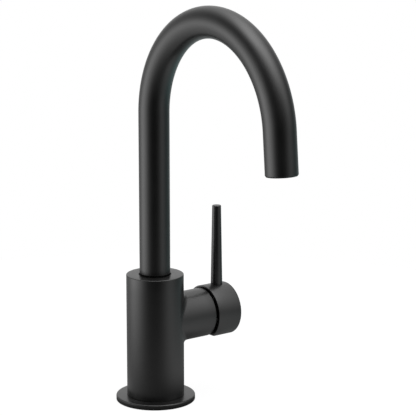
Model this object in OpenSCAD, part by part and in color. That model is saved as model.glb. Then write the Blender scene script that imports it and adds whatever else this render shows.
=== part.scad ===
// Gooseneck bar faucet with a side lever: a single-hole mixer round a ceramic disc cartridge.
// Millimetres, +Z up. The origin is the centre of the base on the deck.
// The spout reaches along -Y, and the lever's branch runs along +X.

/* [Body] */
// Radius of the upright body
body_r = 23.5; // [22.5:0.5:28]
// Height of the body's top above the deck
body_top = 106; // [95:1:125]
// Bevel round the body's top edge
body_bevel = 0.6; // [0.3:0.1:1.2]
// Radius of the round plate at the foot
flange_r = 32.5; // [30.5:0.5:38]
// Thickness of the round plate at the foot
flange_h = 4.2; // [3.4:0.2:6]
// Radius of the plate's rounded upper edge
flange_round = 1; // [0.6:0.1:1.8]

/* [Branch] */
// Distance from the body's top down to the branch's axis
branch_drop = 40; // [36:1:46]
// Radius of the branch
branch_r = 20.2; // [18.8:0.2:21.4]
// Distance from the body's axis to the branch's open end
branch_end = 48; // [46:0.5:56]
// Radius of the fillet where the branch meets the body
fillet_r = 5; // [2:0.5:6]

/* [Spout] */
// Outer radius of the spout's tube
spout_r = 12.5; // [11.5:0.25:13.5]
// Wall of the spout's tube
spout_wall = 1.5; // [1:0.1:1.9]
// Straight height of the tube above the body
riser_h = 132.6; // [90:1:200]
// Radius of the arch, to the middle of the tube
arch_r = 79.5; // [60:0.5:110]
// Angle that the arch turns through
arch_angle = 175; // [150:1:180]
// Straight length of tube after the arch
tail_len = 32; // [20:1:60]
// Rounding of the rim at the outlet
outlet_round = 0.4; // [0.3:0.1:0.9]

/* [Handle] */
// Wall of the handle's cup at its rim
cup_wall = 1.6; // [1.4:0.1:2.4]
// Length of the cup along the branch
cup_len = 23.3; // [22.1:0.1:28]
// Gap between the branch's end and the cup
cup_gap = 1.5; // [1.2:0.1:2.5]
// Rounding of the cup's outer edge
cup_round = 1; // [0.4:0.1:2]
// Length of the bevel that clears the cup's lower rim
relief_len = 7.3; // [5:0.1:8]
// Radius of the lever rod where it leaves the cup
lever_r = 4.9; // [4:0.1:5.5]
// Radius of the lever rod at its tip
lever_tip_r = 3.7; // [3:0.1:4.5]
// Height of the lever's tip above the branch's axis
lever_h = 89; // [64:0.5:124]
// Distance from the lever's axis to the cup's outer end
lever_inset = 9.8; // [8.6:0.1:10.4]

/* [Cartridge] */
// Outer radius of the cartridge
cart_r = 14; // [13.8:0.1:14.2]
// Thickness of the fixed ceramic disc
fixed_t = 4.2; // [3.4:0.1:4.6]
// Thickness of the moving ceramic disc
moving_t = 3.7; // [3.2:0.1:4.2]
// Distance from the stem's pivot to the middle of its ball
arm_len = 7.6; // [7.4:0.1:7.8]
// Radius of the stem's ball
ball_r = 2.3; // [2:0.1:2.4]
// Side of the stem's square
stem_side = 8; // [7:0.25:8.25]
// Radius of the pivot pin
pin_r = 1.5; // [1:0.1:1.8]
// Radius of the two inlets under the cartridge
inlet_r = 2.4; // [1.8:0.1:2.5]
// Sideways distance of each inlet from the middle
inlet_side = 6.2; // [6:0.1:6.4]

/* [Mounting] */
// Outer radius of the threaded shank
shank_r = 16; // [15.5:0.25:16.25]
// Wall of the shank
shank_wall = 2.6; // [2:0.1:3]
// Length of the shank below the deck's face
shank_len = 46; // [42:1:70]
// Thickness of the deck that the faucet is clamped to
deck_t = 20; // [3:1:22]
// Radius of the two threaded hose ports
port_r = 5; // [4:0.5:5]

/* [Hidden] */
$fn = 96;

// Finishes
black = "#2c2d2e";
brass = "#b8965a";
steel = "#9aa0a4";
rubber = "#1b1b1c";
resin = "#d9d5c8";
ceramic = "#f0efe9";

// Clearances and small common sizes
slack = 0.05;          // between parts that screw, press or turn in each other
end_gap = 0.1;         // end play of a part that turns
edge = 0.4;            // small bevel on turned edges
past = 1;              // how far a cutting tool runs past the face it opens

branch_z = body_top - branch_drop;

// Hose ports and water ways
shank_seat = flange_h + 11.8;
port_depth = 10;
riser_r = inlet_r + 0.2;
elbow = 1.8;           // how far a drilled way runs past the way it meets
inlet_up = 3.2;
outlet_down = 1.6;
outlet_r = 2.4;
outlet_riser_r = 3;

// Spout socket, from its floor up
socket_gap = 0.15;
socket_r = spout_r + socket_gap;
socket_floor = branch_z + inlet_up + elbow + 5;
mix_r = spout_r - 1.5;
mix_h = 2.5;
outlet_riser_x = outlet_riser_r + 0.5 - mix_r;
thrust_t = 0.9;
hub_z = socket_floor + thrust_t + end_gap;
hub_r = spout_r - slack;
hub_len = 18;
hub_spigot = 8;
hub_bore = 8;
groove_depth = 1.6;
seal_r = 0.86;
seal_zs = [3, 8];      // heights of the two seals above the hub's foot
keep_z = 14;           // height of the retaining groove above the hub's foot
keep_w = 4;
keep_r = keep_w / 2 - 0.2;
screw_r = 2.5;
ring_wall = 0.8;
ring_h = 7.4;
ring_drop = 0.3;       // how far the glide ring lies under the body's top

// Gooseneck
spout_bore = spout_r - spout_wall;
weld_step = 0.02;      // the tail is this much thinner, so it meets the arch on a clean step
arch_z = body_top + riser_h;

// Aerator, measured from the outlet's rim along the flow
lip_t = 0.8;
lip_r = spout_r - 0.4;
aerator_len = 9;
aerator_shelf = 1.5;
aerator_wall = 1.5;
insert_r = spout_bore - aerator_wall - 2 * slack;

// Cartridge stack, along the branch
pivot_x = branch_end - 3.5;
rim_t = 1.5;           // the base's rim under the housing
base_t = 4;
stack_gap = 0.2;
arm_above_disc = ball_r + 0.2;
disc_top = pivot_x - arm_len - arm_above_disc;
seat_x = disc_top - moving_t - fixed_t - base_t;
fixed_x = seat_x + base_t;
moving_x = fixed_x + fixed_t;
carrier_t = 4.2;
turn_x = disc_top + carrier_t + stack_gap;
shell_wall = 1.5;
disc_bore = cart_r - shell_wall;
fixed_r = disc_bore - 0.5;
moving_r = 9.2;
turn_r = disc_bore - 0.3;
step_r = disc_bore - 2.5;
neck_r = 8.7;
neck_end = pivot_x + 5;
step_x = turn_x + 1;
step_t = 1.5;
shoulder_x = step_x + step_t + 0.2;
shell_top = pivot_x + 0.5;
arc_r = 5.4;           // middle of the two curved inlets
arc_half = 1.1;
arc_from = 15;
arc_to = 65;
pocket_r = 4;
pocket_down = 1;
pocket_t = 2;
lug_x = 8.9;           // half the gap between the carrier's two lugs
lug_y = 5;
peg_r = 1.2;
peg_x = 6.2;
peg_t = 1.5;
key_r = 1;
pin_hole_y = -6.5;
pin_hole_x = 8.5;
seal_rim = 1.2;
seal_t = 0.9;
barrel_r = stem_side / 2 + 1;
arm_r = ball_r - 0.9;
tilt_max = 25;
slot_x = stem_side / 2 + 0.1;
slot_low = (stem_side / 2 + 5 * sin(tilt_max)) / cos(tilt_max) + 0.25;
arm_slot = [6, 6.6];   // width, and height above the axis, of the slot for the arm and ball

// Bonnet nut and dome ring
thread_wall = 1.5;
nut_r = cart_r + thread_wall - slack;
thread_x = shoulder_x - 0.5;
nut_end = branch_end - 0.2;
nut_bore = cart_r - 1.85;
nut_lip_bore = neck_r + 1.8;
nut_slot = 3;
dome_r = 12.2;    // the cup and its boss turn outside this radius about the pivot
dome_from = 54;
dome_to = 65;
dome_foot = 6.7;        // height of the ring's inner edge above the pivot

// Handle cup
cup_bore = branch_r + 0.2;
cup_r = cup_bore + cup_wall;
cup_x = branch_end + cup_gap;
cup_end = cup_x + cup_len;
cup_face = 6.8;         // thickness of the cup's outer end
cup_floor = cup_end - cup_face;
boss_r = 8;
boss_x = pivot_x + 12.9;
cup_step = 6.5;        // length of the thin rim
cup_cone = 2.5;
cup_core = cup_r - 4;
relief_rise = cup_r - 17.7;
stem_end = cup_floor + 1;
lever_x = cup_end - lever_inset;
stud_r = 3;
lever_seat = cup_r - 1.1;
plug_r = 3;

// Under-deck hardware
rubber_t = 3;
clamp_t = 1.5;
nut_gap = 1.5;
deck_nut_h = 10;
deck_nut_wall = 10;
deck_nut_r = shank_r + deck_nut_wall;
lock_r = 2;
lock_circle = shank_r + 3.2;
lock_len = 18;
lock_head_r = 3;
lock_head_h = 4;
gasket_gap = 10;       // from the shank to the gasket
gasket_w = 3.8;
gasket_in = shank_r + gasket_gap;
gasket_out = gasket_in + gasket_w;
gasket_t = 1.5;

// A revolved piece: the outline's points are [radius, height]
module turned(outline) rotate_extrude() polygon(outline);

// A flat ring
module ring(outer, inner, h) difference() {
    cylinder(r = outer, h = h);
    translate([0, 0, -past]) cylinder(r = inner, h = h + 2 * past);
}

// Points of an arc, as [radius, height]
function arc(c, r, from, to, steps = 6) =
    [for (i = [0:steps]) let (a = from + (to - from) * i / steps) c + r * [cos(a), sin(a)]];

// The branch's frame: x runs along +Y, y up, and z along the branch from the body's axis
module along_branch(x = 0) translate([x, 0, branch_z]) rotate([90, 0, 90]) children();

// A hole or pin across the branch's frame, along its x
module crosswise(z, len) translate([-len / 2, 0, z]) rotate([0, 90, 0]) children();

// The arch's frame: its middle is the origin, x runs along -Y and y is up
module at_arch() translate([0, -arch_r, arch_z]) rotate([90, 0, -90]) children();

// The tail's frame: z runs along the flow from the end of the arch
module at_tail() at_arch() rotate([0, 0, 180 - arch_angle])
    translate([arch_r, 0, 0]) rotate([90, 0, 0]) children();

module at_outlet() at_tail() translate([0, 0, tail_len]) children();

// ---- Foot and under-deck hardware ----

module base_gasket() color(rubber) ring(gasket_out - slack, gasket_in + slack, gasket_t - slack);

module base_flange() color(black) difference() {
    turned(concat([[shank_r + 0.3, 0], [flange_r - edge, 0], [flange_r, edge]],
        arc([flange_r - flange_round, flange_h - flange_round], flange_round, 0, 90),
        [[shank_r + 0.3, flange_h]]));
    translate([0, 0, -past]) ring(gasket_out, gasket_in, gasket_t + past);
}

module mounting_shank() color(brass) translate([0, 0, -shank_len])
    ring(shank_r, shank_r - shank_wall, shank_len + shank_seat - slack);

module rubber_washer() color(rubber) translate([0, 0, -deck_t - rubber_t])
    ring(deck_nut_r, shank_r + slack, rubber_t);

module clamp_washer() color(steel) translate([0, 0, -deck_t - rubber_t - clamp_t])
    ring(deck_nut_r, shank_r + slack, clamp_t);

module at_lock_screws() for (a = [0, 180]) rotate(a) translate([0, lock_circle, 0]) children();

module mounting_nut() color(brass)
    translate([0, 0, -deck_t - rubber_t - clamp_t - nut_gap - deck_nut_h]) difference() {
        cylinder(r = deck_nut_r, h = deck_nut_h, $fn = 6);
        translate([0, 0, -past]) cylinder(r = shank_r + slack, h = deck_nut_h + 2 * past);
        translate([0, 0, -past]) at_lock_screws() cylinder(r = lock_r + slack, h = deck_nut_h + 2 * past);
    }

module lock_screws() color(steel)
    translate([0, 0, -deck_t - rubber_t - clamp_t - lock_len]) at_lock_screws() difference() {
        union() {
            cylinder(r = lock_r, h = lock_len);
            translate([0, 0, -lock_head_h]) cylinder(r = lock_head_r, h = lock_head_h);
        }
        translate([0, 0, -lock_head_h - past]) cylinder(r = 1.7, h = 2.5 + past, $fn = 6);
    }

// ---- Body: the upright, the branch and the ways bored through them ----

module upright() turned([[0, flange_h], [body_r - edge, flange_h], [body_r, flange_h + edge],
    [body_r, body_top - body_bevel], [body_r - body_bevel, body_top], [0, body_top]]);

module branch() along_branch() turned([[0, 0], [branch_r, 0], [branch_r, branch_end - edge],
    [branch_r - edge, branch_end], [0, branch_end]]);

// The fillet is the path of a ball that rolls round the joint, touching the body and the branch
fillet_steps = 64;
fillet_arc = 8;
fillet_dip = 0.04;     // the outer rows lie this far inside what they meet
fillet_root = 0.8;     // the inner row lies this far inside both
function roll(a) = let (y = (branch_r + fillet_r) * cos(a))
    [sqrt(pow(body_r + fillet_r, 2) - y * y), y, (branch_r + fillet_r) * sin(a)];
function to_body(c) = -[c.x, c.y, 0] / (body_r + fillet_r);
function to_branch(a) = -[0, cos(a), sin(a)];
function between(u, v, t) = let (w = acos(u * v)) (sin((1 - t) * w) * u + sin(t * w) * v) / sin(w);
function inner_row(a) = let (y = (branch_r - fillet_root) * cos(a))
    [sqrt(pow(body_r - fillet_root, 2) - y * y), y, (branch_r - fillet_root) * sin(a)];
function fillet_section(a) = let (c = roll(a)) concat(
    [for (i = [0:fillet_arc])
        c + (fillet_r + (i == 0 || i == fillet_arc ? fillet_dip : 0))
            * between(to_branch(a), to_body(c), i / fillet_arc)],
    [inner_row(a)]);

module branch_fillet() {
    row = fillet_arc + 2;
    points = [for (s = [0:fillet_steps - 1]) each fillet_section(360 * s / fillet_steps)];
    faces = [for (s = [0:fillet_steps - 1], i = [0:row - 1])
        let (a = s * row + i, b = s * row + (i + 1) % row,
            c = ((s + 1) % fillet_steps) * row + (i + 1) % row, d = ((s + 1) % fillet_steps) * row + i)
            each [[a, d, b], [b, d, c]]];
    translate([0, 0, branch_z]) polyhedron(points, faces);
}

module hose_ports() for (side = [-1, 1]) translate([0, side * inlet_side, 0]) {
    translate([0, 0, shank_seat - past]) cylinder(r = port_r, h = port_depth + past);
    translate([0, 0, shank_seat + port_depth - past])
        cylinder(r = riser_r, h = branch_z + inlet_up + elbow - shank_seat - port_depth + past);
    translate([0, 0, branch_z + inlet_up]) rotate([0, 90, 0]) translate([0, 0, -elbow])
        cylinder(r = inlet_r, h = seat_x + elbow + past);
}

module outlet_way() {
    translate([outlet_riser_x - elbow, 0, branch_z - outlet_down]) rotate([0, 90, 0])
        cylinder(r = outlet_r, h = seat_x - outlet_riser_x + elbow + past);
    translate([outlet_riser_x, 0, branch_z - outlet_down - elbow])
        cylinder(r = outlet_riser_r, h = socket_floor - branch_z + outlet_down + elbow - mix_h / 2);
    translate([0, 0, socket_floor - mix_h]) cylinder(r = mix_r, h = mix_h + past);
}

module spout_socket() {
    translate([0, 0, socket_floor]) cylinder(r = socket_r, h = body_top - socket_floor + past);
    translate([0, 0, body_top - ring_drop - ring_h])
        cylinder(r = spout_r + ring_wall, h = ring_h + ring_drop + past);
    translate([0, 0, hub_z + keep_z]) rotate([-90, 0, 0]) cylinder(r = screw_r + slack, h = body_r + past);
}

module cartridge_bore() along_branch() {
    translate([0, 0, seat_x]) cylinder(r = cart_r + 0.15, h = branch_end - seat_x);
    translate([0, 0, thread_x]) cylinder(r = cart_r + thread_wall, h = branch_end - thread_x + past);
    for (side = [-1, 1]) translate([side * pin_hole_x, pin_hole_y, seat_x - 2.3])
        cylinder(r = key_r + slack, h = 3);
}

module body() color(black) difference() {
    union() {
        upright();
        branch();
        branch_fillet();
    }
    translate([0, 0, flange_h - past]) cylinder(r = shank_r + slack, h = shank_seat - flange_h + past);
    hose_ports();
    outlet_way();
    spout_socket();
    cartridge_bore();
}

// ---- Spout and its bearing in the body ----

module thrust_washer() color(resin) translate([0, 0, socket_floor])
    ring(spout_r - slack, mix_r + 0.2, thrust_t);

module glide_ring() color(rubber) translate([0, 0, body_top - ring_drop - ring_h])
    ring(spout_r + ring_wall - slack, spout_r + slack, ring_h);

module spout_screw() color(steel) translate([0, 0, hub_z + keep_z]) rotate([-90, 0, 0]) difference() {
    union() {
        translate([0, 0, hub_r + 0.7]) cylinder(r = screw_r, h = body_r - hub_r - 1.2);
        translate([0, 0, hub_r - groove_depth + 0.4]) cylinder(r = keep_r, h = groove_depth + 0.8);
    }
    translate([0, 0, body_r - 3]) cylinder(r = 1.3, h = 3, $fn = 6);
}

module tube_wall() difference() {
    circle(r = spout_r);
    circle(r = spout_bore);
}

module spout_tube() color(black) {
    translate([0, 0, hub_z + hub_len]) linear_extrude(arch_z - hub_z - hub_len) tube_wall();
    at_arch() rotate_extrude(angle = arch_angle, start = 180 - arch_angle) translate([arch_r, 0]) tube_wall();
    at_tail() turned(concat([[spout_bore + weld_step, -past], [spout_r - weld_step, -past]],
        arc([spout_r - weld_step - outlet_round, tail_len - outlet_round], outlet_round, 0, 90),
        [[spout_bore + weld_step, tail_len]]));
}

module groove(z, w) translate([0, 0, z - w / 2]) ring(hub_r + past, hub_r - groove_depth, w);

module spout_hub() color(brass) translate([0, 0, hub_z]) difference() {
    union() {
        cylinder(r = hub_r, h = hub_len);
        cylinder(r = spout_bore - slack, h = hub_len + hub_spigot);
    }
    translate([0, 0, -past]) cylinder(r = hub_bore, h = hub_len + hub_spigot + 2 * past);
    for (z = seal_zs) groove(z, 2 * seal_r + 0.6);
    groove(keep_z, keep_w);
}

module spout_seals() color(rubber) for (z = seal_zs) translate([0, 0, hub_z + z])
    rotate_extrude() translate([hub_r - groove_depth + slack + seal_r, 0]) circle(r = seal_r, $fn = 24);

// ---- Aerator ----

module aerator_housing() color("#161617") at_outlet() difference() {
    union() {
        turned([[0, 0], [lip_r, 0], [lip_r, lip_t / 2], [lip_r - lip_t / 2, lip_t], [0, lip_t]]);
        translate([0, 0, -aerator_len]) cylinder(r = spout_bore - slack, h = aerator_len);
    }
    translate([0, 0, aerator_shelf - aerator_len])
        cylinder(r = spout_bore - aerator_wall, h = aerator_len + past);
    translate([0, 0, -aerator_len - past]) cylinder(r = spout_bore - 2 * aerator_wall, h = aerator_len);
}

module aerator_insert() color(resin) at_outlet() difference() {
    translate([0, 0, aerator_shelf - aerator_len]) cylinder(r = insert_r, h = 6);
    translate([0, 0, aerator_shelf - aerator_len + 3]) cylinder(r = insert_r - 1.2, h = 6);
    for (rank = [[6, 2.6], [12, 5.2], [16, 7.2]], i = [0:rank[0] - 1])
        rotate(360 * i / rank[0]) translate([rank[1], 0, -aerator_len]) cylinder(r = 0.8, h = 6);
}

module aerator_screen() color(steel) at_outlet() difference() {
    translate([0, 0, aerator_shelf - aerator_len + 6]) cylinder(r = insert_r, h = 0.6);
    for (rank = [[1, 0], [6, 2], [12, 4], [18, 6], [24, 7.9]], i = [0:rank[0] - 1])
        rotate(360 * i / rank[0]) translate([rank[1], 0, -3]) cylinder(r = 0.75, h = 3);
}

module aerator_washer() color(rubber) at_outlet() translate([0, 0, -aerator_len - 1.5])
    ring(spout_bore - slack, spout_bore - 2 * aerator_wall, 1.5);

// ---- Cartridge: two ceramic discs, what carries them and what moves them ----

// The two curved inlets, one each side
module curved_inlets(h) for (side = [0, 180]) rotate([0, side, 0]) translate([0, 0, side == 0 ? 0 : -h]) {
    rotate(arc_from) rotate_extrude(angle = arc_to - arc_from)
        translate([arc_r - arc_half, 0]) square([2 * arc_half, h]);
    for (a = [arc_from, arc_to]) rotate(a) translate([arc_r, 0, 0]) cylinder(r = arc_half, h = h);
}

module at_inlets() for (side = [-1, 1]) translate([side * inlet_side, inlet_up, 0]) children();

module at_outlet_hole() translate([0, -outlet_down, 0]) children();

module at_keys() for (side = [-1, 1]) translate([side * (fixed_r - 0.8), 0, 0]) children();

module cartridge_base() color(resin) along_branch(seat_x) difference() {
    union() {
        cylinder(r = cart_r, h = rim_t);
        cylinder(r = disc_bore - slack, h = base_t);
        at_keys() cylinder(r = key_r, h = base_t + 2);
        for (side = [-1, 1]) translate([side * pin_hole_x, pin_hole_y, -2]) cylinder(r = key_r, h = 3);
    }
    at_inlets() translate([0, 0, -past]) cylinder(r = inlet_r, h = base_t / 2 + past + 0.3);
    translate([0, 0, base_t / 2]) curved_inlets(base_t);
    at_outlet_hole() translate([0, 0, -past]) cylinder(r = outlet_r, h = base_t + 2 * past);
    at_inlets() translate([0, 0, -past]) cylinder(r = inlet_r + seal_rim + slack, h = seal_t + past + slack);
    at_outlet_hole() translate([0, 0, -past])
        cylinder(r = outlet_r + seal_rim + slack, h = seal_t + past + slack);
}

module base_seals() color(rubber) along_branch(seat_x) {
    at_inlets() ring(inlet_r + seal_rim, inlet_r, seal_t);
    at_outlet_hole() ring(outlet_r + seal_rim, outlet_r, seal_t);
}

module fixed_disc() color(ceramic) along_branch(fixed_x) difference() {
    cylinder(r = fixed_r, h = fixed_t);
    translate([0, 0, -past]) curved_inlets(fixed_t + 2 * past);
    at_outlet_hole() translate([0, 0, -past]) cylinder(r = outlet_r, h = fixed_t + 2 * past);
    at_keys() translate([0, 0, -past]) cylinder(r = key_r + slack, h = 2 + past + slack);
}

module moving_disc() color(ceramic) along_branch(moving_x) difference() {
    cylinder(r = moving_r, h = moving_t);
    translate([0, -pocket_down, -past]) cylinder(r = pocket_r, h = pocket_t + past);
    for (side = [-1, 1]) translate([side * peg_x, 0, moving_t - peg_t - slack])
        cylinder(r = peg_r + slack, h = peg_t + past);
}

module disc_carrier() color(resin) along_branch(disc_top) difference() {
    union() {
        translate([0.1 - lug_x, -lug_y, 0]) cube([2 * lug_x - 0.2, 2 * lug_y, carrier_t]);
        cylinder(r = moving_r - 1.7, h = carrier_t);
        for (side = [-1, 1]) translate([side * peg_x, 0, -peg_t]) cylinder(r = peg_r, h = peg_t + 1);
    }
    translate([-ball_r - 0.12, -ball_r - 0.12, -past]) cube([2 * ball_r + 0.24, 2 * ball_r + 0.24, 10]);
}

module cartridge_housing() color(resin) along_branch() turned([
    [cart_r, seat_x + rim_t], [cart_r, shoulder_x],
    [nut_bore - 0.15, shoulder_x], [nut_bore - 0.15, shell_top],
    [neck_r + slack, shell_top], [neck_r + slack, step_x + step_t], [step_r + 0.3, step_x + step_t],
    [step_r + 0.3, step_x + stack_gap], [disc_bore, step_x + stack_gap], [disc_bore, seat_x + rim_t]]);

module stem_carrier() color(resin) along_branch() difference() {
    union() {
        turned([[0, turn_x], [turn_r, turn_x], [turn_r, step_x], [step_r, step_x],
            [step_r, step_x + step_t - 0.3], [neck_r, step_x + step_t - 0.3],
            [neck_r, neck_end], [0, neck_end]]);
        intersection() {
            translate([0, 0, disc_top + 0.6]) cylinder(r = turn_r, h = carrier_t);
            for (side = [0, 180]) rotate(side) translate([lug_x, -lug_y, 0])
                cube([turn_r, 2 * lug_y, turn_x + 0.5]);
        }
    }
    translate([-slot_x, -slot_low, pivot_x - barrel_r - 0.3])
        cube([2 * slot_x, slot_low + barrel_r + 0.2, 20]);
    translate([-arm_slot[0] / 2, -arm_slot[0] / 2, turn_x - past])
        cube([arm_slot[0], arm_slot[0] / 2 + arm_slot[1], 3]);
    crosswise(pivot_x, 2 * turn_r) cylinder(r = pin_r + 0.02, h = 2 * turn_r);
}

module pivot_pin() color(steel) along_branch() crosswise(pivot_x, 2 * neck_r - 0.8)
    cylinder(r = pin_r, h = 2 * neck_r - 0.8);

module cartridge_stem() color(brass) along_branch() difference() {
    union() {
        crosswise(pivot_x, stem_side) cylinder(r = barrel_r, h = stem_side);
        translate([-stem_side / 2, -stem_side / 2, pivot_x]) cube([stem_side, stem_side, stem_end - pivot_x]);
        translate([0, 0, pivot_x - arm_len]) cylinder(r1 = arm_r, r2 = arm_r + 1, h = arm_len);
        translate([0, 0, pivot_x - arm_len]) sphere(r = ball_r, $fn = 48);
    }
    crosswise(pivot_x, 2 * stem_side) cylinder(r = pin_r + slack, h = 2 * stem_side);
}

module bonnet_nut() color(brass) along_branch() difference() {
    turned([[nut_r, shoulder_x], [nut_r, nut_end], [nut_lip_bore, nut_end], [nut_lip_bore, shell_top + 0.2],
        [nut_bore, shell_top + 0.2], [nut_bore, shoulder_x]]);
    for (a = [45:90:315]) rotate(a) translate([nut_bore - 0.4, -nut_slot / 2, nut_end - nut_slot / 2])
        cube([nut_r, nut_slot, nut_slot]);
}

module dome_ring() color("#161617") along_branch() turned(concat(
    [[nut_lip_bore - slack, nut_end - 1.4], [nut_lip_bore - slack, nut_end], [nut_r - 0.2, nut_end],
        [nut_r - 0.2, nut_end + 0.8]],
    arc([0, pivot_x], dome_r, 90 - dome_to, 90 - dome_from, 4),
    [[neck_r + 0.6, pivot_x + dome_foot], [neck_r + 0.6, nut_end - 1.4]]));

// ---- Handle ----

module handle_cup() color(black) along_branch() difference() {
    turned(concat([[cup_bore, cup_x], [cup_r - 0.2, cup_x], [cup_r, cup_x + 0.2]],
        arc([cup_r - cup_round, cup_end - cup_round], cup_round, 0, 90),
        [[0, cup_end], [0, boss_x], [boss_r, boss_x], [boss_r, cup_floor], [cup_core, cup_floor],
            [cup_core, cup_x + cup_step + cup_cone], [cup_bore, cup_x + cup_step]]));
    translate([-stem_side / 2 - slack, -stem_side / 2 - slack, boss_x - past])
        cube([stem_side + 2 * slack, stem_side + 2 * slack, stem_end - boss_x + past + 0.3]);
    translate([0, 0, lever_x]) rotate([-90, 0, 0]) {
        translate([0, 0, stem_side / 2 + 0.6]) cylinder(r = stud_r + slack, h = cup_r);
        translate([0, 0, lever_seat]) cylinder(r = lever_r + 0.1, h = cup_r);
    }
    translate([0, 0, lever_x]) rotate([0, 90, 0]) {
        cylinder(r = screw_r + slack, h = boss_r + past);
        translate([0, 0, cup_core - past]) cylinder(r = plug_r, h = cup_r);
    }
    // the bevel under the rim, which keeps the cup off the branch when the lever is pulled out
    rotate([0, 0, 180]) rotate([0, 90, 0]) linear_extrude(2 * cup_r, center = true) polygon([
        [-cup_x + past, cup_r - relief_rise - past * relief_rise / relief_len], [-cup_x - relief_len, cup_r],
        [-cup_x - relief_len, 2 * cup_r], [-cup_x + past, 2 * cup_r]]);
}

module lever_rod() color(black) translate([lever_x, 0, branch_z]) turned([
    [0, stem_side / 2 + 0.8], [stud_r, stem_side / 2 + 0.8], [stud_r, lever_seat], [lever_r, lever_seat],
    [lever_tip_r, lever_h - edge], [lever_tip_r - edge, lever_h], [0, lever_h]]);

module handle_screw() color(steel) along_branch() translate([0, 0, lever_x]) rotate([0, 90, 0]) difference() {
    translate([0, 0, stem_side / 2]) cylinder(r = screw_r, h = 5);
    translate([0, 0, stem_side / 2 + 3]) cylinder(r = 1.3, h = 3, $fn = 6);
}

module screw_plug() color(black) along_branch() translate([0, 0, lever_x]) rotate([0, 90, 0])
    translate([0, 0, cup_core + 0.3]) cylinder(r = plug_r - slack, h = cup_r - cup_core - 0.8);

base_gasket();
base_flange();
body();
mounting_shank();
rubber_washer();
clamp_washer();
mounting_nut();
lock_screws();
thrust_washer();
glide_ring();
spout_screw();
spout_tube();
spout_hub();
spout_seals();
aerator_housing();
aerator_insert();
aerator_screen();
aerator_washer();
cartridge_base();
base_seals();
fixed_disc();
moving_disc();
disc_carrier();
cartridge_housing();
stem_carrier();
pivot_pin();
cartridge_stem();
bonnet_nut();
dome_ring();
handle_cup();
lever_rod();
handle_screw();
screw_plug();
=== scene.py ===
import math

import bmesh
import bpy
from mathutils import Matrix, Vector


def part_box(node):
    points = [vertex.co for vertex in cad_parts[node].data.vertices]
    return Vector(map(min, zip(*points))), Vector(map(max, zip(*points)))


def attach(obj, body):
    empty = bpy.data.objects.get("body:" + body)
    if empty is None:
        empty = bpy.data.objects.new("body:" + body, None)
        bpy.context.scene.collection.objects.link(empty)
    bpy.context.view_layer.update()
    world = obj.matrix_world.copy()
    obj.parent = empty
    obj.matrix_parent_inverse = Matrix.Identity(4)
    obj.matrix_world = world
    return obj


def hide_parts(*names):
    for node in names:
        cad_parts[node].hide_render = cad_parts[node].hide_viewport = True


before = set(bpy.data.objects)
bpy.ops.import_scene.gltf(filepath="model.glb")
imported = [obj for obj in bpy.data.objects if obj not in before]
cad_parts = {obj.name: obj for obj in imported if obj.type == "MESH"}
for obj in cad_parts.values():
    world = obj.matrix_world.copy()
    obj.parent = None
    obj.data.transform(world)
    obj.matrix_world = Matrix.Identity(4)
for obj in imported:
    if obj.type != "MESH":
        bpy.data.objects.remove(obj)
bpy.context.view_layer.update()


# ---- The picture ----
# The faucet stands on a plain pale deck and is seen from its front left, a little above the branch.
# The camera's place, turn and lens come from matching the tube, the arch and the body to the photograph.
CAMERA_TURN, CAMERA_DIP = -37, 12.37       # degrees
camera_data = bpy.data.cameras.new("camera")
camera_data.lens = 155.1
camera_data.sensor_width = 36
camera_data.clip_end = 20
camera = bpy.data.objects.new("camera", camera_data)
camera.location = (-0.8168, -1.1557, 0.4711)
camera.rotation_euler = (math.radians(90 - CAMERA_DIP), 0, math.radians(CAMERA_TURN))
bpy.context.scene.collection.objects.link(camera)
bpy.context.scene.camera = camera
bpy.context.scene.view_settings.view_transform = "Standard"


class Nodes:
    """A short way to lay out one material's or the world's shader nodes."""

    def __init__(self, owner):
        owner.use_nodes = True
        self.tree = owner.node_tree
        self.tree.nodes.clear()

    def add(self, kind, inputs=None, **settings):
        """A node with its settings, and each input linked to a socket or given a value."""
        node = self.tree.nodes.new(kind)
        for name, value in settings.items():
            setattr(node, name, value)
        for name, value in (inputs or {}).items():
            if isinstance(value, bpy.types.NodeSocket):
                self.tree.links.new(value, node.inputs[name])
            else:
                node.inputs[name].default_value = value
        return node

    def ramp(self, value, stops):
        """Greys that follow a value, through stops of (place, grey)."""
        node = self.add("ShaderNodeValToRGB", {"Fac": value})
        band = node.color_ramp
        while len(band.elements) < len(stops):
            band.elements.new(0.5)
        for element, (place, grey) in zip(band.elements, stops):
            element.position = place
            element.color = (grey, grey, grey, 1)
        return node.outputs["Color"]


def shows_white(nodes, mirrored):
    """How far a ray sees the picture's white: all of it straight or through glass, else `mirrored`."""
    path = nodes.add("ShaderNodeLightPath")
    reflected = nodes.add(
        "ShaderNodeMath", {0: path.outputs["Is Glossy Ray"], 1: mirrored}, operation="MULTIPLY"
    )
    straight = nodes.add(
        "ShaderNodeMath",
        {0: path.outputs["Is Camera Ray"], 1: path.outputs["Is Transmission Ray"]},
        operation="MAXIMUM",
    )
    return nodes.add(
        "ShaderNodeMath", {0: straight.outputs[0], 1: reflected.outputs[0]}, operation="MAXIMUM"
    ).outputs[0]


def toward(turn, rise):
    """The direction of a light, from its turn to the camera's right and its rise, in degrees."""
    bearing, rise = math.radians(180 - CAMERA_TURN - turn), math.radians(rise)
    return (math.cos(rise) * math.sin(bearing), math.cos(rise) * math.cos(bearing), math.sin(rise))


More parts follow.
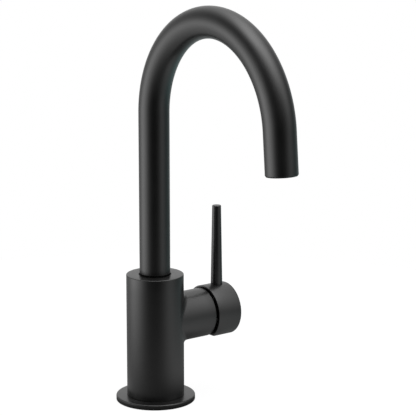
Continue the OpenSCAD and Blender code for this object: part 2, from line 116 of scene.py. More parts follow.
# The room: large soft lights stand round the faucet, and the room in front of it is dim. Each light is a
# turn, a rise, a half width in degrees, and a brightness; the cool one lies low behind on the right. The
# backdrop is white, and reflections show it where it stands, behind the faucet.
SOFT_LIGHTS = [
    (-72, -2, 18, 1.62),
    (-95, -5, 12, 1.0),
    (-104, 0, 19, 0.44),
    (-90, -45, 24, 0.97),
    (-60, 80, 12, 2.14),
    (60, 65, 20, 2.96),
    (75, 22, 16, 0.77),
    (60, -20, 16, 0.6),
    (180, 14, 28, 0.55),
    (180, 68, 18, 1.95),
]
COOL_LIGHTS, COOL_TINT = [(125, -50, 24, 0.66)], (0.6, 1, 1, 1)
BACKDROP = (180, 14, 28, 0.5)
WHITE = (1, 1, 1, 1)


def add_up(nodes, looking, lights):
    """The brightness of soft round lights in the direction a ray looks."""
    total = 0.0
    for turn, rise, spread, brightness in lights:
        sharpness = 1 / math.radians(spread) ** 2
        facing = nodes.add(
            "ShaderNodeVectorMath", {0: looking, 1: toward(turn, rise)}, operation="DOT_PRODUCT"
        )
        falloff = nodes.add(
            "ShaderNodeMath",
            {0: facing.outputs["Value"], 1: sharpness, 2: -sharpness},
            operation="MULTIPLY_ADD",
        )
        soft = nodes.add("ShaderNodeMath", {0: falloff.outputs[0]}, operation="EXPONENT")
        total = nodes.add(
            "ShaderNodeMath", {0: soft.outputs[0], 1: brightness, 2: total}, operation="MULTIPLY_ADD"
        ).outputs[0]
    return total


room = bpy.data.worlds.new("studio")
bpy.context.scene.world = room
nodes = Nodes(room)
looking = nodes.add("ShaderNodeTexCoord").outputs["Generated"]
white = shows_white(nodes, add_up(nodes, looking, [BACKDROP]))
neutral = nodes.add("ShaderNodeMix", {"Factor": white, "A": add_up(nodes, looking, SOFT_LIGHTS), "B": 1.0})
cool = nodes.add("ShaderNodeMix", {"Factor": white, "A": add_up(nodes, looking, COOL_LIGHTS), "B": 0.0})
lamps = nodes.add("ShaderNodeBackground", {"Color": WHITE, "Strength": neutral.outputs["Result"]})
low_lamp = nodes.add("ShaderNodeBackground", {"Color": COOL_TINT, "Strength": cool.outputs["Result"]})
sky = nodes.add("ShaderNodeAddShader", {0: lamps.outputs[0], 1: low_lamp.outputs[0]})
nodes.add("ShaderNodeOutputWorld", {"Surface": sky.outputs[0]})

# The deck: pale, and lit so that it meets the white backdrop without an edge, with the faucet's shadow on it.
# Reflections show painted glows on it where the side lights would light it, darkened near the foot by a
# painted shadow, and it fades from them outward.
# From below it is clear, so that the underside can be seen. It lies a hair under the foot plate.
DECK_R, DECK_DROP, DECK_WHITE, DECK_GREY = 0.5, 0.00002, 0.93, (0.09, 0.09, 0.09, 1)
FADE_START, PAINTED_SHADOW_START = 0.05, 0.03
# Each painted glow: the light it stands for, and the reach from the foot where its painted shadow ends
PAINTED_DECK_GLOWS = [((-82, 0, 42, 0.46), 0.05), ((72, 0, 32, 0.67), 0.1)]     # each light, and where its shade ends
bpy.ops.mesh.primitive_circle_add(vertices=128, radius=DECK_R, fill_type="NGON", location=(0, 0, -DECK_DROP))
deck = bpy.context.object
deck.name = "deck"
deck_paint = bpy.data.materials.new("pale_deck")
nodes = Nodes(deck_paint)
spot = nodes.add("ShaderNodeTexCoord").outputs["Object"]
outward = nodes.add("ShaderNodeVectorMath", {0: spot}, operation="NORMALIZE").outputs["Vector"]
reach = nodes.add("ShaderNodeVectorMath", {0: spot}, operation="LENGTH").outputs["Value"]
painted_glow = 0.0
# Painted light on the deck for reflections only, each glow darkened close to the foot by a painted shadow
for light, painted_shadow_end in PAINTED_DECK_GLOWS:
    past_painted_shadow = nodes.add(
        "ShaderNodeMapRange",
        {"Value": reach, "From Min": PAINTED_SHADOW_START, "From Max": painted_shadow_end},
        interpolation_type="SMOOTHSTEP",
    )
    painted_glow = nodes.add(
        "ShaderNodeMath",
        {0: past_painted_shadow.outputs["Result"], 1: add_up(nodes, outward, [light]), 2: painted_glow},
        operation="MULTIPLY_ADD",
    ).outputs[0]
level = nodes.add("ShaderNodeMath", {0: shows_white(nodes, painted_glow), 1: DECK_WHITE}, operation="MULTIPLY")
lit = nodes.add("ShaderNodeEmission", {"Color": WHITE, "Strength": level.outputs[0]})
matt = nodes.add("ShaderNodeBsdfDiffuse", {"Color": DECK_GREY})
both = nodes.add("ShaderNodeAddShader", {0: matt.outputs[0], 1: lit.outputs[0]})
fade = nodes.add(
    "ShaderNodeMapRange",
    {"Value": reach, "From Min": FADE_START, "From Max": DECK_R, "To Min": 1.0, "To Max": 0.0},
    interpolation_type="SMOOTHSTEP",
)
path = nodes.add("ShaderNodeLightPath")
solid = nodes.add(
    "ShaderNodeMath", {0: path.outputs["Is Camera Ray"], 1: fade.outputs["Result"]}, operation="MAXIMUM"
)
below = nodes.add("ShaderNodeNewGeometry").outputs["Backfacing"]
seen = nodes.add("ShaderNodeMath", {0: solid.outputs[0], 1: below}, operation="SUBTRACT", use_clamp=True)
clear = nodes.add("ShaderNodeBsdfTransparent", {"Color": WHITE})
edge = nodes.add("ShaderNodeMixShader", {"Fac": seen.outputs[0], 1: clear.outputs[0], 2: both.outputs[0]})
nodes.add("ShaderNodeOutputMaterial", {"Surface": edge.outputs[0]})
deck.data.materials.append(deck_paint)


# ---- Foot plate ----
# A turned brass plate that hides the deck hole, with a rounded upper edge and a groove for its gasket.
# It is powder coated matte black, as the body, the spout and the handle are.
MM = 0.001             # the pieces are drawn in millimetres
CORNER_STEPS = 5


def rounded(points, radii):
    """An outline with its corners rounded to the radii given by their place in the list."""
    out = []
    for i, point in enumerate(points):
        here = Vector(point)
        if i not in radii:
            out.append(tuple(here))
            continue
        before = (Vector(points[i - 1]) - here).normalized()
        after = (Vector(points[(i + 1) % len(points)]) - here).normalized()
        half = before.angle(after) / 2
        reach = radii[i] / math.tan(half)
        centre = here + (before + after).normalized() * radii[i] / math.sin(half)
        start, end = here + before * reach - centre, here + after * reach - centre
        sweep_angle = start.angle(end)
        for k in range(CORNER_STEPS + 1):
            t = k / CORNER_STEPS
            mixed = (
                start * math.sin((1 - t) * sweep_angle) + end * math.sin(t * sweep_angle)
            ) / math.sin(sweep_angle)
            out.append(tuple(centre + mixed))
    return out


UPRIGHT = Matrix.Identity(4)
CRISP = 35             # degrees: sharper edges stay crisp
SAME_POINT = 1e-7      # metres: nearer points become one


def shade_smooth(mesh, crisp=CRISP):
    for face in mesh.polygons:
        face.use_smooth = True
    mesh.set_sharp_from_angle(angle=math.radians(crisp))


def finish_mesh(name, verts, faces, place=UPRIGHT, crisp=CRISP):
    """A smooth-shaded piece in metres from millimetre points, facing outward all over."""
    mesh = bpy.data.meshes.new(name)
    mesh.from_pydata([place @ Vector(v) * MM for v in verts], [], faces)
    cleaner = bmesh.new()
    cleaner.from_mesh(mesh)
    bmesh.ops.remove_doubles(cleaner, verts=cleaner.verts, dist=SAME_POINT)
    bmesh.ops.recalc_face_normals(cleaner, faces=cleaner.faces)
    cleaner.to_mesh(mesh)
    cleaner.free()
    shade_smooth(mesh, crisp)
    piece = bpy.data.objects.new(name, mesh)
    bpy.context.scene.collection.objects.link(piece)
    return piece


def lathe_mesh(outline, turns=144, slide=None):
    """Points and faces of a closed outline of (radius, height) turned about the axis."""
    verts, rows = [], []
    for radius, height in outline:
        row = []
        for k in range(turns if radius > 0 else 1):
            a = 2 * math.pi * k / turns
            x, y = radius * math.cos(a), radius * math.sin(a)
            row.append(len(verts))
            verts.append((x, y, slide(height, -y) if slide else height))
        rows.append(row)
    faces = []
    for i in range(len(rows)):
        low, high = rows[i], rows[(i + 1) % len(rows)]
        if len(low) == 1 and len(high) == 1:
            continue
        for k in range(turns):
            n = (k + 1) % turns
            corners = [low[k % len(low)], low[n % len(low)], high[n % len(high)], high[k % len(high)]]
            faces.append(list(dict.fromkeys(corners)))
    return verts, faces


def lathe(name, outline, place=UPRIGHT, **options):
    return finish_mesh(name, *lathe_mesh(outline, **options), place)


def finished(piece, paint, body, slot, *replaced):
    """Coats a piece, mounts it on its body and lets it stand for CAD nodes."""
    piece.data.materials.clear()
    piece.data.materials.append(paint)
    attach(piece, body)
    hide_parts(*replaced)


def powder_coat(name, shade, roughness):
    """Matte black powder coat: a fine orange-peel skin over cast or drawn brass."""
    paint = bpy.data.materials.new(name)
    nodes = Nodes(paint)
    place = nodes.add("ShaderNodeTexCoord").outputs["Object"]
    peel = nodes.add(
        "ShaderNodeTexNoise", {"Vector": place, "Scale": 900.0, "Detail": 3.0, "Roughness": 0.55}
    )
    cloud = nodes.add("ShaderNodeTexNoise", {"Vector": place, "Scale": 45.0, "Detail": 2.0})
    tone = nodes.ramp(cloud.outputs["Fac"], [(0.3, shade * 0.86), (0.7, shade * 1.12)])
    gloss = nodes.ramp(cloud.outputs["Fac"], [(0.25, roughness - 0.02), (0.75, roughness + 0.03)])
    skin = nodes.add("ShaderNodeBump", {"Height": peel.outputs["Fac"], "Strength": 0.12, "Distance": 0.00006})
    shader = nodes.add(
        "ShaderNodeBsdfPrincipled",
        {"Base Color": tone, "Roughness": gloss, "Normal": skin.outputs["Normal"]},
    )
    shader.inputs["Specular IOR Level"].default_value = 0.7
    nodes.add("ShaderNodeOutputMaterial", {"Surface": shader.outputs["BSDF"]})
    return paint


black_coat = powder_coat("matte_black_coat", 0.009, 0.3)

FIT, PLATE_CLEARANCE, GROOVE_W = 0.05, 0.3, 3.8
plate_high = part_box("base_flange")[1]
plate_r, plate_h = plate_high.x / MM, plate_high.z / MM
shank_low, shank_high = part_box("mounting_shank")
shank_r, shank_foot, shank_top = shank_high.x / MM, shank_low.z / MM, shank_high.z / MM
gasket_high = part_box("base_gasket")[1]
groove_out = gasket_high.x / MM + FIT
groove_in, groove_h = groove_out - GROOVE_W, gasket_high.z / MM + FIT
plate_bore = shank_r + PLATE_CLEARANCE
plate_outline = rounded(
    [
        (plate_bore, 0), (groove_in, 0), (groove_in, groove_h), (groove_out, groove_h), (groove_out, 0),
        (plate_r, 0), (plate_r, plate_h), (plate_bore, plate_h),
    ],
    {1: 0.15, 4: 0.15, 5: 0.35, 6: 1.0, 7: 0.3},
)
plate = lathe("foot_plate", plate_outline, turns=192)
finished(plate, black_coat, "fixed_body", "matte_black", "base_flange")


# ---- Gasket, washers and seals ----
# Moulded black rubber rings: under the foot plate, under the deck, round the spout's foot, in the aerator and
# under the cartridge. They are pressed or laid in their grooves.
def rubber(name, shade, shine=0.5):
    """Moulded rubber with a dull, slightly mottled skin."""
    skin = bpy.data.materials.new(name)
    nodes = Nodes(skin)
    place = nodes.add("ShaderNodeTexCoord").outputs["Object"]
    mottle = nodes.add("ShaderNodeTexNoise", {"Vector": place, "Scale": 260.0, "Detail": 4.0})
    tone = nodes.ramp(mottle.outputs["Fac"], [(0.3, shade * 0.7), (0.75, shade * 1.4)])
    grain = nodes.add(
        "ShaderNodeBump", {"Height": mottle.outputs["Fac"], "Strength": 0.2, "Distance": 0.0001}
    )
    shader = nodes.add(
        "ShaderNodeBsdfPrincipled", {"Base Color": tone, "Roughness": 0.72, "Normal": grain.outputs["Normal"]}
    )
    shader.inputs["Specular IOR Level"].default_value = shine
    nodes.add("ShaderNodeOutputMaterial", {"Surface": shader.outputs["BSDF"]})
    return skin


def keep(paint, *names):
    """Carries CAD nodes over as they are, with a finish."""
    for name in names:
        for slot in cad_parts[name].material_slots:
            slot.material = paint


black_rubber = rubber("black_rubber", 0.018)
keep(black_rubber, "base_gasket", "rubber_washer", "spout_seals", "aerator_washer", "base_seals")

# The ring that the spout's foot turns in ends in a lip round the tube's neck, which shows as a black line
NECK_R, NECK_TOP, LIP_W, LIP_TOP = 12.0, 107.05, 0.38, 106.95
ring_low, ring_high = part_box("glide_ring")
ring_r, ring_foot, ring_top = ring_high.x / MM, ring_low.z / MM, ring_high.z / MM
ring_outline = rounded(
    [
        (NECK_R + FIT, ring_foot), (ring_r, ring_foot), (ring_r, ring_top), (NECK_R + LIP_W, ring_top),
        (NECK_R + LIP_W, LIP_TOP), (NECK_R + FIT, LIP_TOP),
    ],
    {4: 0.1},
)
wiper = lathe("wiper_ring", ring_outline)
# The lip is black rubber, made darker and duller than the other seals as painted shade for the seam's shadow
finished(wiper, rubber("seam_shade_black_rubber", 0.002, 0.1), "fixed_body", "rubber", "glide_ring")


# ---- Body ----
# One brass casting: an upright with a side branch that flows into it through a rolled fillet.
# The spout's socket, the shank's recess, the hose ports and the cartridge's chamber are bored in it, and then
# it is coated.
BODY_R, BODY_TOP, TOP_EDGE = 23.5, 106.0, 0.6
BRANCH_R, BRANCH_Z, BRANCH_START, BRANCH_END, FILLET_R = 20.2, 66.0, 40.0, 48.0, 5.0
SOCKET_R, SOCKET_FLOOR, RING_R, RING_FLOOR = 12.65, 76.0, 13.3, 98.3
CHAMBER_R, CHAMBER_FLOOR, THREAD_R, THREAD_FLOOR = 14.15, 22.5, 15.5, 41.0
PATCH_TURN, PATCH_RISE, PATCH_SPREAD = math.radians(72), 29.0, 1.3     # the skin round the branch's root

# Mesh counts: round the branch, across the fillet, out from the fillet over the patch, and round the back
LOOP, ARC_STEPS, RINGS, BACK_COLUMNS = 128, 10, 6, 52

verts, index, faces = [], {}, []


def point(p):
    """The number of a point, shared by every face that meets there."""
    key = tuple(round(c, 4) for c in p)
    if key not in index:
        index[key] = len(verts)
        verts.append(tuple(p))
    return index[key]


def on_upright(turn, height, radius=BODY_R):
    return (radius * math.cos(turn), radius * math.sin(turn), height)


def stitch(rows, loop=True):
    """Quads between rows of equal length."""
    for low, high in zip(rows, rows[1:]):
        count = len(low)
        for k in range(count if loop else count - 1):
            n = (k + 1) % count
            corners = list(dict.fromkeys([point(low[k]), point(low[n]), point(high[n]), point(high[k])]))
            if len(corners) > 2:
                faces.append(corners)


# The patch's outer edge: a rectangle on the upright's skin, with a quarter of the loop's points on each side
quarter = LOOP // 4


def patch_edge(k):
    """A point of the edge by its number: its turn about the upright and its rise from the branch's middle."""
    side, t = divmod((k + quarter // 2) % LOOP, quarter)
    t = 2 * t / quarter - 1
    turn, rise = [(1, t), (-t, 1), (-1, -t), (t, -1)][side]
    return turn * PATCH_TURN, rise * PATCH_RISE


branch_rows = [[] for _ in range(ARC_STEPS + 1)]
patch_rows = [[] for _ in range(RINGS + 1)]
for k in range(LOOP):
    a = 2 * math.pi * k / LOOP
    cy, cz = (BRANCH_R + FILLET_R) * math.cos(a), (BRANCH_R + FILLET_R) * math.sin(a)
    cx = math.sqrt((BODY_R + FILLET_R) ** 2 - cy * cy)
    centre = Vector((cx, cy, cz))
    to_branch = Vector((0, -math.cos(a), -math.sin(a)))
    to_body = Vector((-cx, -cy, 0)) / (BODY_R + FILLET_R)
    opening = to_branch.angle(to_body)
    for i in range(ARC_STEPS + 1):
        t = i / ARC_STEPS
        mixed = to_branch * math.sin((1 - t) * opening) + to_body * math.sin(t * opening)
        spot = centre + mixed / math.sin(opening) * FILLET_R
        branch_rows[i].append((spot.x, spot.y, BRANCH_Z + spot.z))
    turn, rise = math.atan2(cy, cx), cz
    edge_turn, edge_rise = patch_edge(k)
    for i in range(RINGS + 1):
        t = (i / RINGS) ** PATCH_SPREAD
        patch_rows[i].append(
            on_upright(turn + (edge_turn - turn) * t, BRANCH_Z + rise + (edge_rise - rise) * t)
        )
patch_rows[0] = branch_rows[-1]
stitch(branch_rows)
stitch(patch_rows)

# The branch's straight run, its end and the bores inside it, all with the loop's points
branch_outline = rounded(
    [
        (BRANCH_R, BRANCH_START), (BRANCH_R, BRANCH_END), (THREAD_R, BRANCH_END), (THREAD_R, THREAD_FLOOR),
        (CHAMBER_R, THREAD_FLOOR), (CHAMBER_R, CHAMBER_FLOOR),
    ],
    {1: 0.4, 2: 0.5, 3: 0.1, 4: 0.1},
)
loop_turns = [2 * math.pi * k / LOOP for k in range(LOOP)]
run_rows = [branch_rows[0]]
for radius, along in branch_outline:
    run_rows.append([(along, radius * math.cos(a), BRANCH_Z + radius * math.sin(a)) for a in loop_turns])
stitch(run_rows)
faces.append([point(p) for p in run_rows[-1]])

# The rest of the upright: the back beside the patch, and the bands above and below it
patch_turns = [PATCH_TURN * (2 * i / quarter - 1) for i in range(quarter + 1)]
back_turns = [
    PATCH_TURN + (2 * math.pi - 2 * PATCH_TURN) * i / BACK_COLUMNS for i in range(BACK_COLUMNS + 1)
]
back_heights = [BRANCH_Z + PATCH_RISE * (2 * i / quarter - 1) for i in range(quarter + 1)]
stitch([[on_upright(a, z) for a in back_turns] for z in back_heights], loop=False)
all_turns = patch_turns[:-1] + back_turns[:-1]
top_outline = rounded(
    [
        (BODY_R, BRANCH_Z + PATCH_RISE), (BODY_R, BODY_TOP), (RING_R, BODY_TOP), (RING_R, RING_FLOOR),
        (SOCKET_R, RING_FLOOR), (SOCKET_R, SOCKET_FLOOR),
    ],
    {1: TOP_EDGE, 2: 0.25, 3: 0.1, 4: 0.1},
)
foot_outline = rounded(
    [
        (BODY_R, BRANCH_Z - PATCH_RISE), (BODY_R, plate_h), (shank_r + FIT, plate_h),
        (shank_r + FIT, shank_top + FIT),
    ],
    {1: 0.4, 2: 0.3},
)
for outline in (top_outline, foot_outline):
    rows = [[on_upright(a, z, r) for a in all_turns] for r, z in outline]
    stitch(rows)
    faces.append([point(p) for p in rows[-1]])

body_shell = finish_mesh("body_casting", verts, faces)


def drill(piece, name, steps, start, direction, turns=64):
    """Cuts a round hole of one or more steps, each a radius and the depth where it ends."""
    outline, depth = [(0, 0)], 0
    for radius, step_end in steps:
        outline += [(radius, depth), (radius, step_end)]
        depth = step_end
    outline.append((0, depth))
    aim = Vector(direction).to_track_quat("Z", "Y").to_matrix().to_4x4()
    bit = lathe(name, outline, Matrix.Translation(start) @ aim, turns=turns)
    cut = piece.modifiers.new(name, "BOOLEAN")
    cut.operation, cut.solver, cut.object = "DIFFERENCE", "EXACT", bit
    bpy.context.view_layer.update()
    result = bpy.data.meshes.new_from_object(
        piece.evaluated_get(bpy.context.evaluated_depsgraph_get())
    )
    piece.modifiers.clear()
    old, piece.data = piece.data, result
    result.name = old.name + "_drilled"
    bpy.data.meshes.remove(old)
    bpy.data.meshes.remove(bit.data)
    shade_smooth(result)


# Two hose ports run on into risers, and a screw hole behind reaches the spout's socket. A bit starts a little
# inside the bore that its hole opens from, and its depths are from that start.
UP, BACK = (0, 0, 1), (0, 1, 0)
PORT_R, PORT_END, RISER_R, RISER_END, PORT_SIDE, PORT_LEAD = 5.0, 12.05, 2.6, 32.0, 6.2, 2.0
SCREW_R, SCREW_Z, SCREW_END, SCREW_LEAD = 2.55, 91.0, 14.0, 1.0
for side in (-1, 1):
    port = (0, side * PORT_SIDE, shank_top - PORT_LEAD)
    drill(body_shell, "port_bit", [(PORT_R, PORT_END), (RISER_R, RISER_END)], port, UP)
drill(body_shell, "retaining_bit", [(SCREW_R, SCREW_END)], (0, SOCKET_R - SCREW_LEAD, SCREW_Z), BACK)
finished(body_shell, black_coat, "fixed_body", "matte_black", "body")


# ---- Under the deck ----
# A threaded brass tube screws into the body and passes through the deck hole; a brass nut with two steel jack
# screws draws the faucet down on a rubber and a steel washer.
def machined(name, colour, roughness):
    """Turned metal: fine tool rings and a light tarnish."""
    metal = bpy.data.materials.new(name)
    nodes = Nodes(metal)
    place = nodes.add("ShaderNodeTexCoord").outputs["Object"]
    rings = nodes.add(
        "ShaderNodeTexWave",
        {"Vector": place, "Scale": 1400.0, "Distortion": 1.5, "Detail": 2.0},
        wave_type="BANDS",
        bands_direction="Z",
    )
    cloud = nodes.add("ShaderNodeTexNoise", {"Vector": place, "Scale": 90.0, "Detail": 3.0})
    tarnish = nodes.add(
        "ShaderNodeMix",
        {"Factor": cloud.outputs["Fac"], "A": (*[c * 0.78 for c in colour], 1), "B": (*colour, 1)},
        data_type="RGBA",
    )
    gloss = nodes.ramp(cloud.outputs["Fac"], [(0.3, roughness + 0.08), (0.7, roughness - 0.04)])
    marks = nodes.add(
        "ShaderNodeBump", {"Height": rings.outputs["Fac"], "Strength": 0.08, "Distance": 0.00002}
    )
    shader = nodes.add(
        "ShaderNodeBsdfPrincipled",
        {"Base Color": tarnish.outputs["Result"], "Roughness": gloss, "Normal": marks.outputs["Normal"]},
    )
    shader.inputs["Metallic"].default_value = 1.0
    nodes.add("ShaderNodeOutputMaterial", {"Surface": shader.outputs["BSDF"]})
    return metal


brass = machined("turned_brass", (0.72, 0.5, 0.22), 0.3)
steel = machined("bright_steel", (0.62, 0.63, 0.64), 0.26)

THREAD_PITCH, THREAD_DEPTH, THREAD_TURNS, PITCH_STEPS, THREAD_CRISP = 1.5, 0.8, 72, 4, 50
FLANK, CREST, RUN_OUT, SHANK_WALL = 1.25, 0.12, 0.8, 2.6       # slope, flat top, fading end, and tube wall


def loops_mesh(rows):
    """Points and faces of loops of equal length, each joined to the next and the last to the first."""
    turns = len(rows[0])
    quads = []
    for i in range(len(rows)):
        j = (i + 1) % len(rows)
        for k in range(turns):
            n = (k + 1) % turns
            quads.append([i * turns + k, i * turns + n, j * turns + n, j * turns + k])
    return [p for row in rows for p in row], quads


def level_loop(height, turns, radius_at):
    """A level loop about the axis, with a radius for each turn."""
    row = []
    for k in range(turns):
        a = 2 * math.pi * k / turns
        row.append((radius_at(a) * math.cos(a), radius_at(a) * math.sin(a), height))
    return row


def thread_height(turn, along):
    """How far the thread lies under its crest, for a plain V thread."""
    phase = (along / THREAD_PITCH - turn / (2 * math.pi)) % 1
    return THREAD_DEPTH * min(1, max(0, abs(2 * phase - 1) * FLANK - CREST))


def shank_loop(height):
    """The shank's outside at a height: a helical thread that runs out at both ends."""
    fade = min(1, (height - shank_foot) / RUN_OUT, (shank_top - height) / RUN_OUT)
    root = shank_r - THREAD_DEPTH
    return level_loop(
        height, THREAD_TURNS, lambda a: root + (THREAD_DEPTH - thread_height(a, height)) * fade
    )


shank_steps = round((shank_top - shank_foot) / THREAD_PITCH * PITCH_STEPS)
shank_rows = [
    shank_loop(shank_foot + (shank_top - shank_foot) * i / shank_steps) for i in range(shank_steps + 1)
]
shank_rows += [level_loop(z, THREAD_TURNS, lambda a: shank_r - SHANK_WALL) for z in (shank_top, shank_foot)]
shank = finish_mesh("threaded_shank", *loops_mesh(shank_rows), crisp=THREAD_CRISP)
finished(shank, brass, "fixed_body", "brass", "mounting_shank")

# The nut is a bevelled hexagon, bored for the shank and its two jack screws
NUT_TURNS, NUT_CRISP, BEVEL_H, BEVEL_IN = 96, 20, 1.6, 3.2
nut_low, nut_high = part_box("mounting_nut")
nut_r, nut_z, nut_h = nut_high.x / MM, nut_low.z / MM, (nut_high.z - nut_low.z) / MM


def hexagon_loop(rise, limit):
    """A hexagon that high on the nut, with its corners turned off at the limit."""
    half_side = math.pi / 6
    flat_r = nut_r * math.cos(half_side)
    return level_loop(
        nut_z + rise, NUT_TURNS, lambda a: min(flat_r / math.cos(a % (2 * half_side) - half_side), limit)
    )


nut_rows = [
    hexagon_loop(0, nut_r - BEVEL_IN), hexagon_loop(BEVEL_H, nut_r),
    hexagon_loop(nut_h - BEVEL_H, nut_r), hexagon_loop(nut_h, nut_r - BEVEL_IN),
]
nut_rows += [level_loop(nut_z + rise, NUT_TURNS, lambda a: shank_r + FIT) for rise in (nut_h, 0)]
deck_nut = finish_mesh("deck_nut", *loops_mesh(nut_rows), crisp=NUT_CRISP)
JACK_R, JACK_OUT, JACK_LEAD, JACK_TURNS = 2.05, 3.2, 1.0, 32
for side in (-1, 1):
    jack = (0, side * (shank_r + JACK_OUT), nut_z - JACK_LEAD)
    drill(deck_nut, "jack_bit", [(JACK_R, nut_h + 2 * JACK_LEAD)], jack, UP, JACK_TURNS)
finished(deck_nut, brass, "fixed_body", "brass", "mounting_nut")
keep(steel, "clamp_washer", "lock_screws", "spout_screw", "aerator_screen", "pivot_pin", "handle_screw")


# ---- Spout tube ----
# A 25 mm brass tube bent on a mandrel into one even arch, with a straight tail and a rolled rim at the
# outlet. Its foot is turned down to a neck that runs in the ring. It is coated after bending.
WALL, ARCH_R, ARCH_TURN, TAIL, RIM = 1.5, 79.5, 175, 32.0, 0.4
NECK_BREAK, BORE_BREAK = 0.15, 0.2         # the small chamfers at the neck's shoulder and the outlet's bore
TUBE_TURNS, FOOT_STEPS, ARCH_STEPS, TAIL_STEPS, RIM_STEPS = 96, 12, 110, 6, 6
ACROSS = Vector((1, 0, 0))
tube_low, tube_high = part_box("spout_tube")
tube_r, tube_foot = tube_high.x / MM, tube_low.z / MM
tube_bore, arch_z = tube_r - WALL, tube_high.z / MM - tube_r - ARCH_R

# Places along the tube are distances past the start of the arch, so the foot's are below zero
foot_start, neck_end = tube_foot - arch_z, NECK_TOP - arch_z
bend_length = math.radians(ARCH_TURN) * ARCH_R
tube_end = bend_length + TAIL


def course(distance):
    """Where the tube's middle is, and which way it runs, at a place along it."""
    a = min(max(distance, 0), bend_length) / ARCH_R
    run = Vector((0, -math.sin(a), math.cos(a)))
    middle = Vector((0, ARCH_R * (math.cos(a) - 1), arch_z + ARCH_R * math.sin(a)))
    return middle + run * (distance - a * ARCH_R), run


shoulder = neck_end + NECK_BREAK
stops = [shoulder - shoulder * i / FOOT_STEPS for i in range(FOOT_STEPS)]
stops += [bend_length * i / ARCH_STEPS for i in range(ARCH_STEPS + 1)]
stops += [bend_length + (TAIL - RIM) * i / TAIL_STEPS for i in range(1, TAIL_STEPS + 1)]
rim_turns = [math.pi / 2 * i / RIM_STEPS for i in range(1, RIM_STEPS + 1)]
stations = [(foot_start, NECK_R), (neck_end, NECK_R), (neck_end, tube_r - NECK_BREAK)]
stations += [(stop, tube_r) for stop in stops]
stations += [(tube_end - RIM + RIM * math.sin(a), tube_r - RIM + RIM * math.cos(a)) for a in rim_turns]
stations += [(tube_end, tube_bore + BORE_BREAK), (tube_end - BORE_BREAK, tube_bore)]
stations += [(stop, tube_bore) for stop in reversed(stops[:-1])] + [(foot_start, tube_bore)]
tube_turns = [2 * math.pi * k / TUBE_TURNS for k in range(TUBE_TURNS)]
tube_rows = []
for distance, radius in stations:
    middle, run = course(distance)
    over = run.cross(ACROSS)
    tube_rows.append([middle + (ACROSS * math.cos(a) + over * math.sin(a)) * radius for a in tube_turns])
spout = finish_mesh("spout_pipe", *loops_mesh(tube_rows))
finished(spout, black_coat, "swing_spout", "matte_black", "spout_tube")
keep(brass, "spout_hub", "cartridge_stem", "bonnet_nut")


# ---- Aerator, bearing washer and cartridge mouldings ----
# Moulded plastic: the aerator's black shell and pale honeycomb, the spout's bearing washer, the ring that
# dresses the cartridge's nut, and the cartridge's base, housing and carriers. The two discs between them are
# lapped ceramic. All are clipped or stacked in place.
def moulded(name, shade, roughness, tint=(1.0, 1.0, 1.0)):
    """Injection-moulded plastic with a very fine spark-eroded grain."""
    plastic = bpy.data.materials.new(name)
    nodes = Nodes(plastic)
    place = nodes.add("ShaderNodeTexCoord").outputs["Object"]
    grain = nodes.add("ShaderNodeTexNoise", {"Vector": place, "Scale": 2200.0, "Detail": 2.0})
    cloud = nodes.add("ShaderNodeTexNoise", {"Vector": place, "Scale": 70.0})
    tone = nodes.add(
        "ShaderNodeMix",
        {
            "Factor": cloud.outputs["Fac"],
            "A": (*[shade * 0.9 * t for t in tint], 1),
            "B": (*[shade * 1.08 * t for t in tint], 1),
        },
        data_type="RGBA",
    )
    skin = nodes.add("ShaderNodeBump", {"Height": grain.outputs["Fac"], "Strength": 0.1, "Distance": 0.00003})
    shader = nodes.add(
        "ShaderNodeBsdfPrincipled", {"Base Color": tone.outputs["Result"], "Normal": skin.outputs["Normal"]}
    )
    shader.inputs["Roughness"].default_value = roughness
    nodes.add("ShaderNodeOutputMaterial", {"Surface": shader.outputs["BSDF"]})
    return plastic


keep(moulded("black_plastic", 0.012, 0.45), "aerator_housing", "dome_ring")
keep(
    moulded("pale_resin", 0.62, 0.4, (1.0, 0.97, 0.9)),
    "thrust_washer", "aerator_insert", "cartridge_base", "disc_carrier", "cartridge_housing", "stem_carrier",
)
keep(moulded("lapped_ceramic", 0.84, 0.16, (1.0, 0.985, 0.95)), "fixed_disc", "moving_disc")


# ---- Handle cup ----
# A deep turned cup that covers the branch's end, with a boss inside that grips the cartridge's square stem.
# Its lower rim is cut back on a slant so that it clears the branch when the lever is pulled out.
ALONG_BRANCH = Matrix(((0, 0, 1, 0), (1, 0, 0, 0), (0, 1, 0, BRANCH_Z), (0, 0, 0, 1)))
cup_low, cup_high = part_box("handle_cup")
cup_r, cup_x, cup_end = cup_high.y / MM, cup_low.x / MM, cup_high.x / MM
RIM_WALL, CORE_WALL, END_WALL, BOSS_R, BOSS_X = 1.6, 4.0, 6.8, 8.0, 57.4
THIN_DEPTH, STEP_DEPTH, OUTER_DEPTH = 6.5, 9.0, 7.8     # depths from the rim
RELIEF_START, RELIEF_END, RELIEF_RUN, RIM_BAND = 17.7, 22.0, 7.3, 0.6
cup_bore, cup_core, cup_floor = cup_r - RIM_WALL, cup_r - CORE_WALL, cup_end - END_WALL


def slanted_rim(along, below):
    """Moves the rim's points back along the branch where they lie below the slanting cut."""
    if along > cup_x + RIM_BAND:
        return along
    return along + max(0, (below - RELIEF_START) * (RELIEF_RUN / (RELIEF_END - RELIEF_START)))


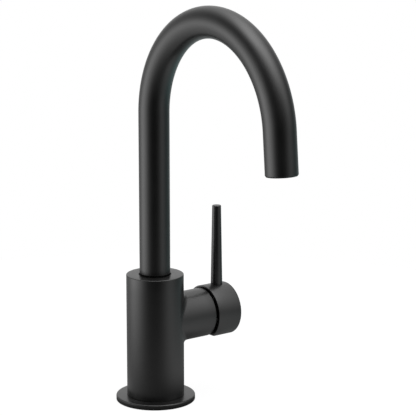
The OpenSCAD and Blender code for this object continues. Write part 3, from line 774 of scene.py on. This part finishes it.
cup_outline = rounded(
    [
        (cup_bore, cup_x), (cup_r, cup_x), (cup_r, cup_x + OUTER_DEPTH), (cup_r, cup_end), (0, cup_end),
        (0, BOSS_X), (BOSS_R, BOSS_X), (BOSS_R, cup_floor), (cup_core, cup_floor),
        (cup_core, cup_x + STEP_DEPTH), (cup_bore, cup_x + THIN_DEPTH),
    ],
    {0: 0.2, 1: 0.22, 3: 1.0},
)
cup = lathe("lever_cup", cup_outline, ALONG_BRANCH, turns=192, slide=slanted_rim)

# The lever's stud hole opens into a flat seat for its foot; the set screw's access hole is at the back
LEVER_X, STUD_R, STUD_RISE, SEAT_R, SEAT_DEPTH, SEAT_OPEN = 63.0, 3.0, 4.6, 5.0, 1.1, 6.0
ACCESS_R, ACCESS_END, ACCESS_LEAD = 3.0, 8.0, 1.0
seat_z = BRANCH_Z + cup_r - SEAT_DEPTH
stud_end = cup_r - SEAT_DEPTH - STUD_RISE
stud_steps = [(STUD_R + FIT, stud_end), (SEAT_R, stud_end + SEAT_OPEN)]
drill(cup, "stud_bit", stud_steps, (LEVER_X, 0, BRANCH_Z + STUD_RISE), UP)
drill(cup, "access_bit", [(ACCESS_R, ACCESS_END)], (LEVER_X, cup_core - ACCESS_LEAD, BRANCH_Z), BACK)
finished(cup, black_coat, "lever_handle", "matte_black", "handle_cup")
keep(black_coat, "screw_plug")


# ---- Lever ----
# A slim brass rod turned to an even taper, with a flat top and a short stud that screws into the cup's boss.
# It is powder coated like the cup.
LEVER_R, TIP_R = 4.9, 3.7
lever_low, lever_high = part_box("lever_rod")
stud_foot, lever_top = lever_low.z / MM, lever_high.z / MM
rod_outline = rounded(
    [
        (0, stud_foot), (STUD_R, stud_foot), (STUD_R, seat_z), (LEVER_R, seat_z), (TIP_R, lever_top),
        (0, lever_top),
    ],
    {1: 0.4, 3: 0.25, 4: 0.45},
)
rod = lathe("lever", rod_outline, Matrix.Translation((LEVER_X, 0, 0)), turns=96)
finished(rod, black_coat, "lever_handle", "matte_black", "lever_rod")
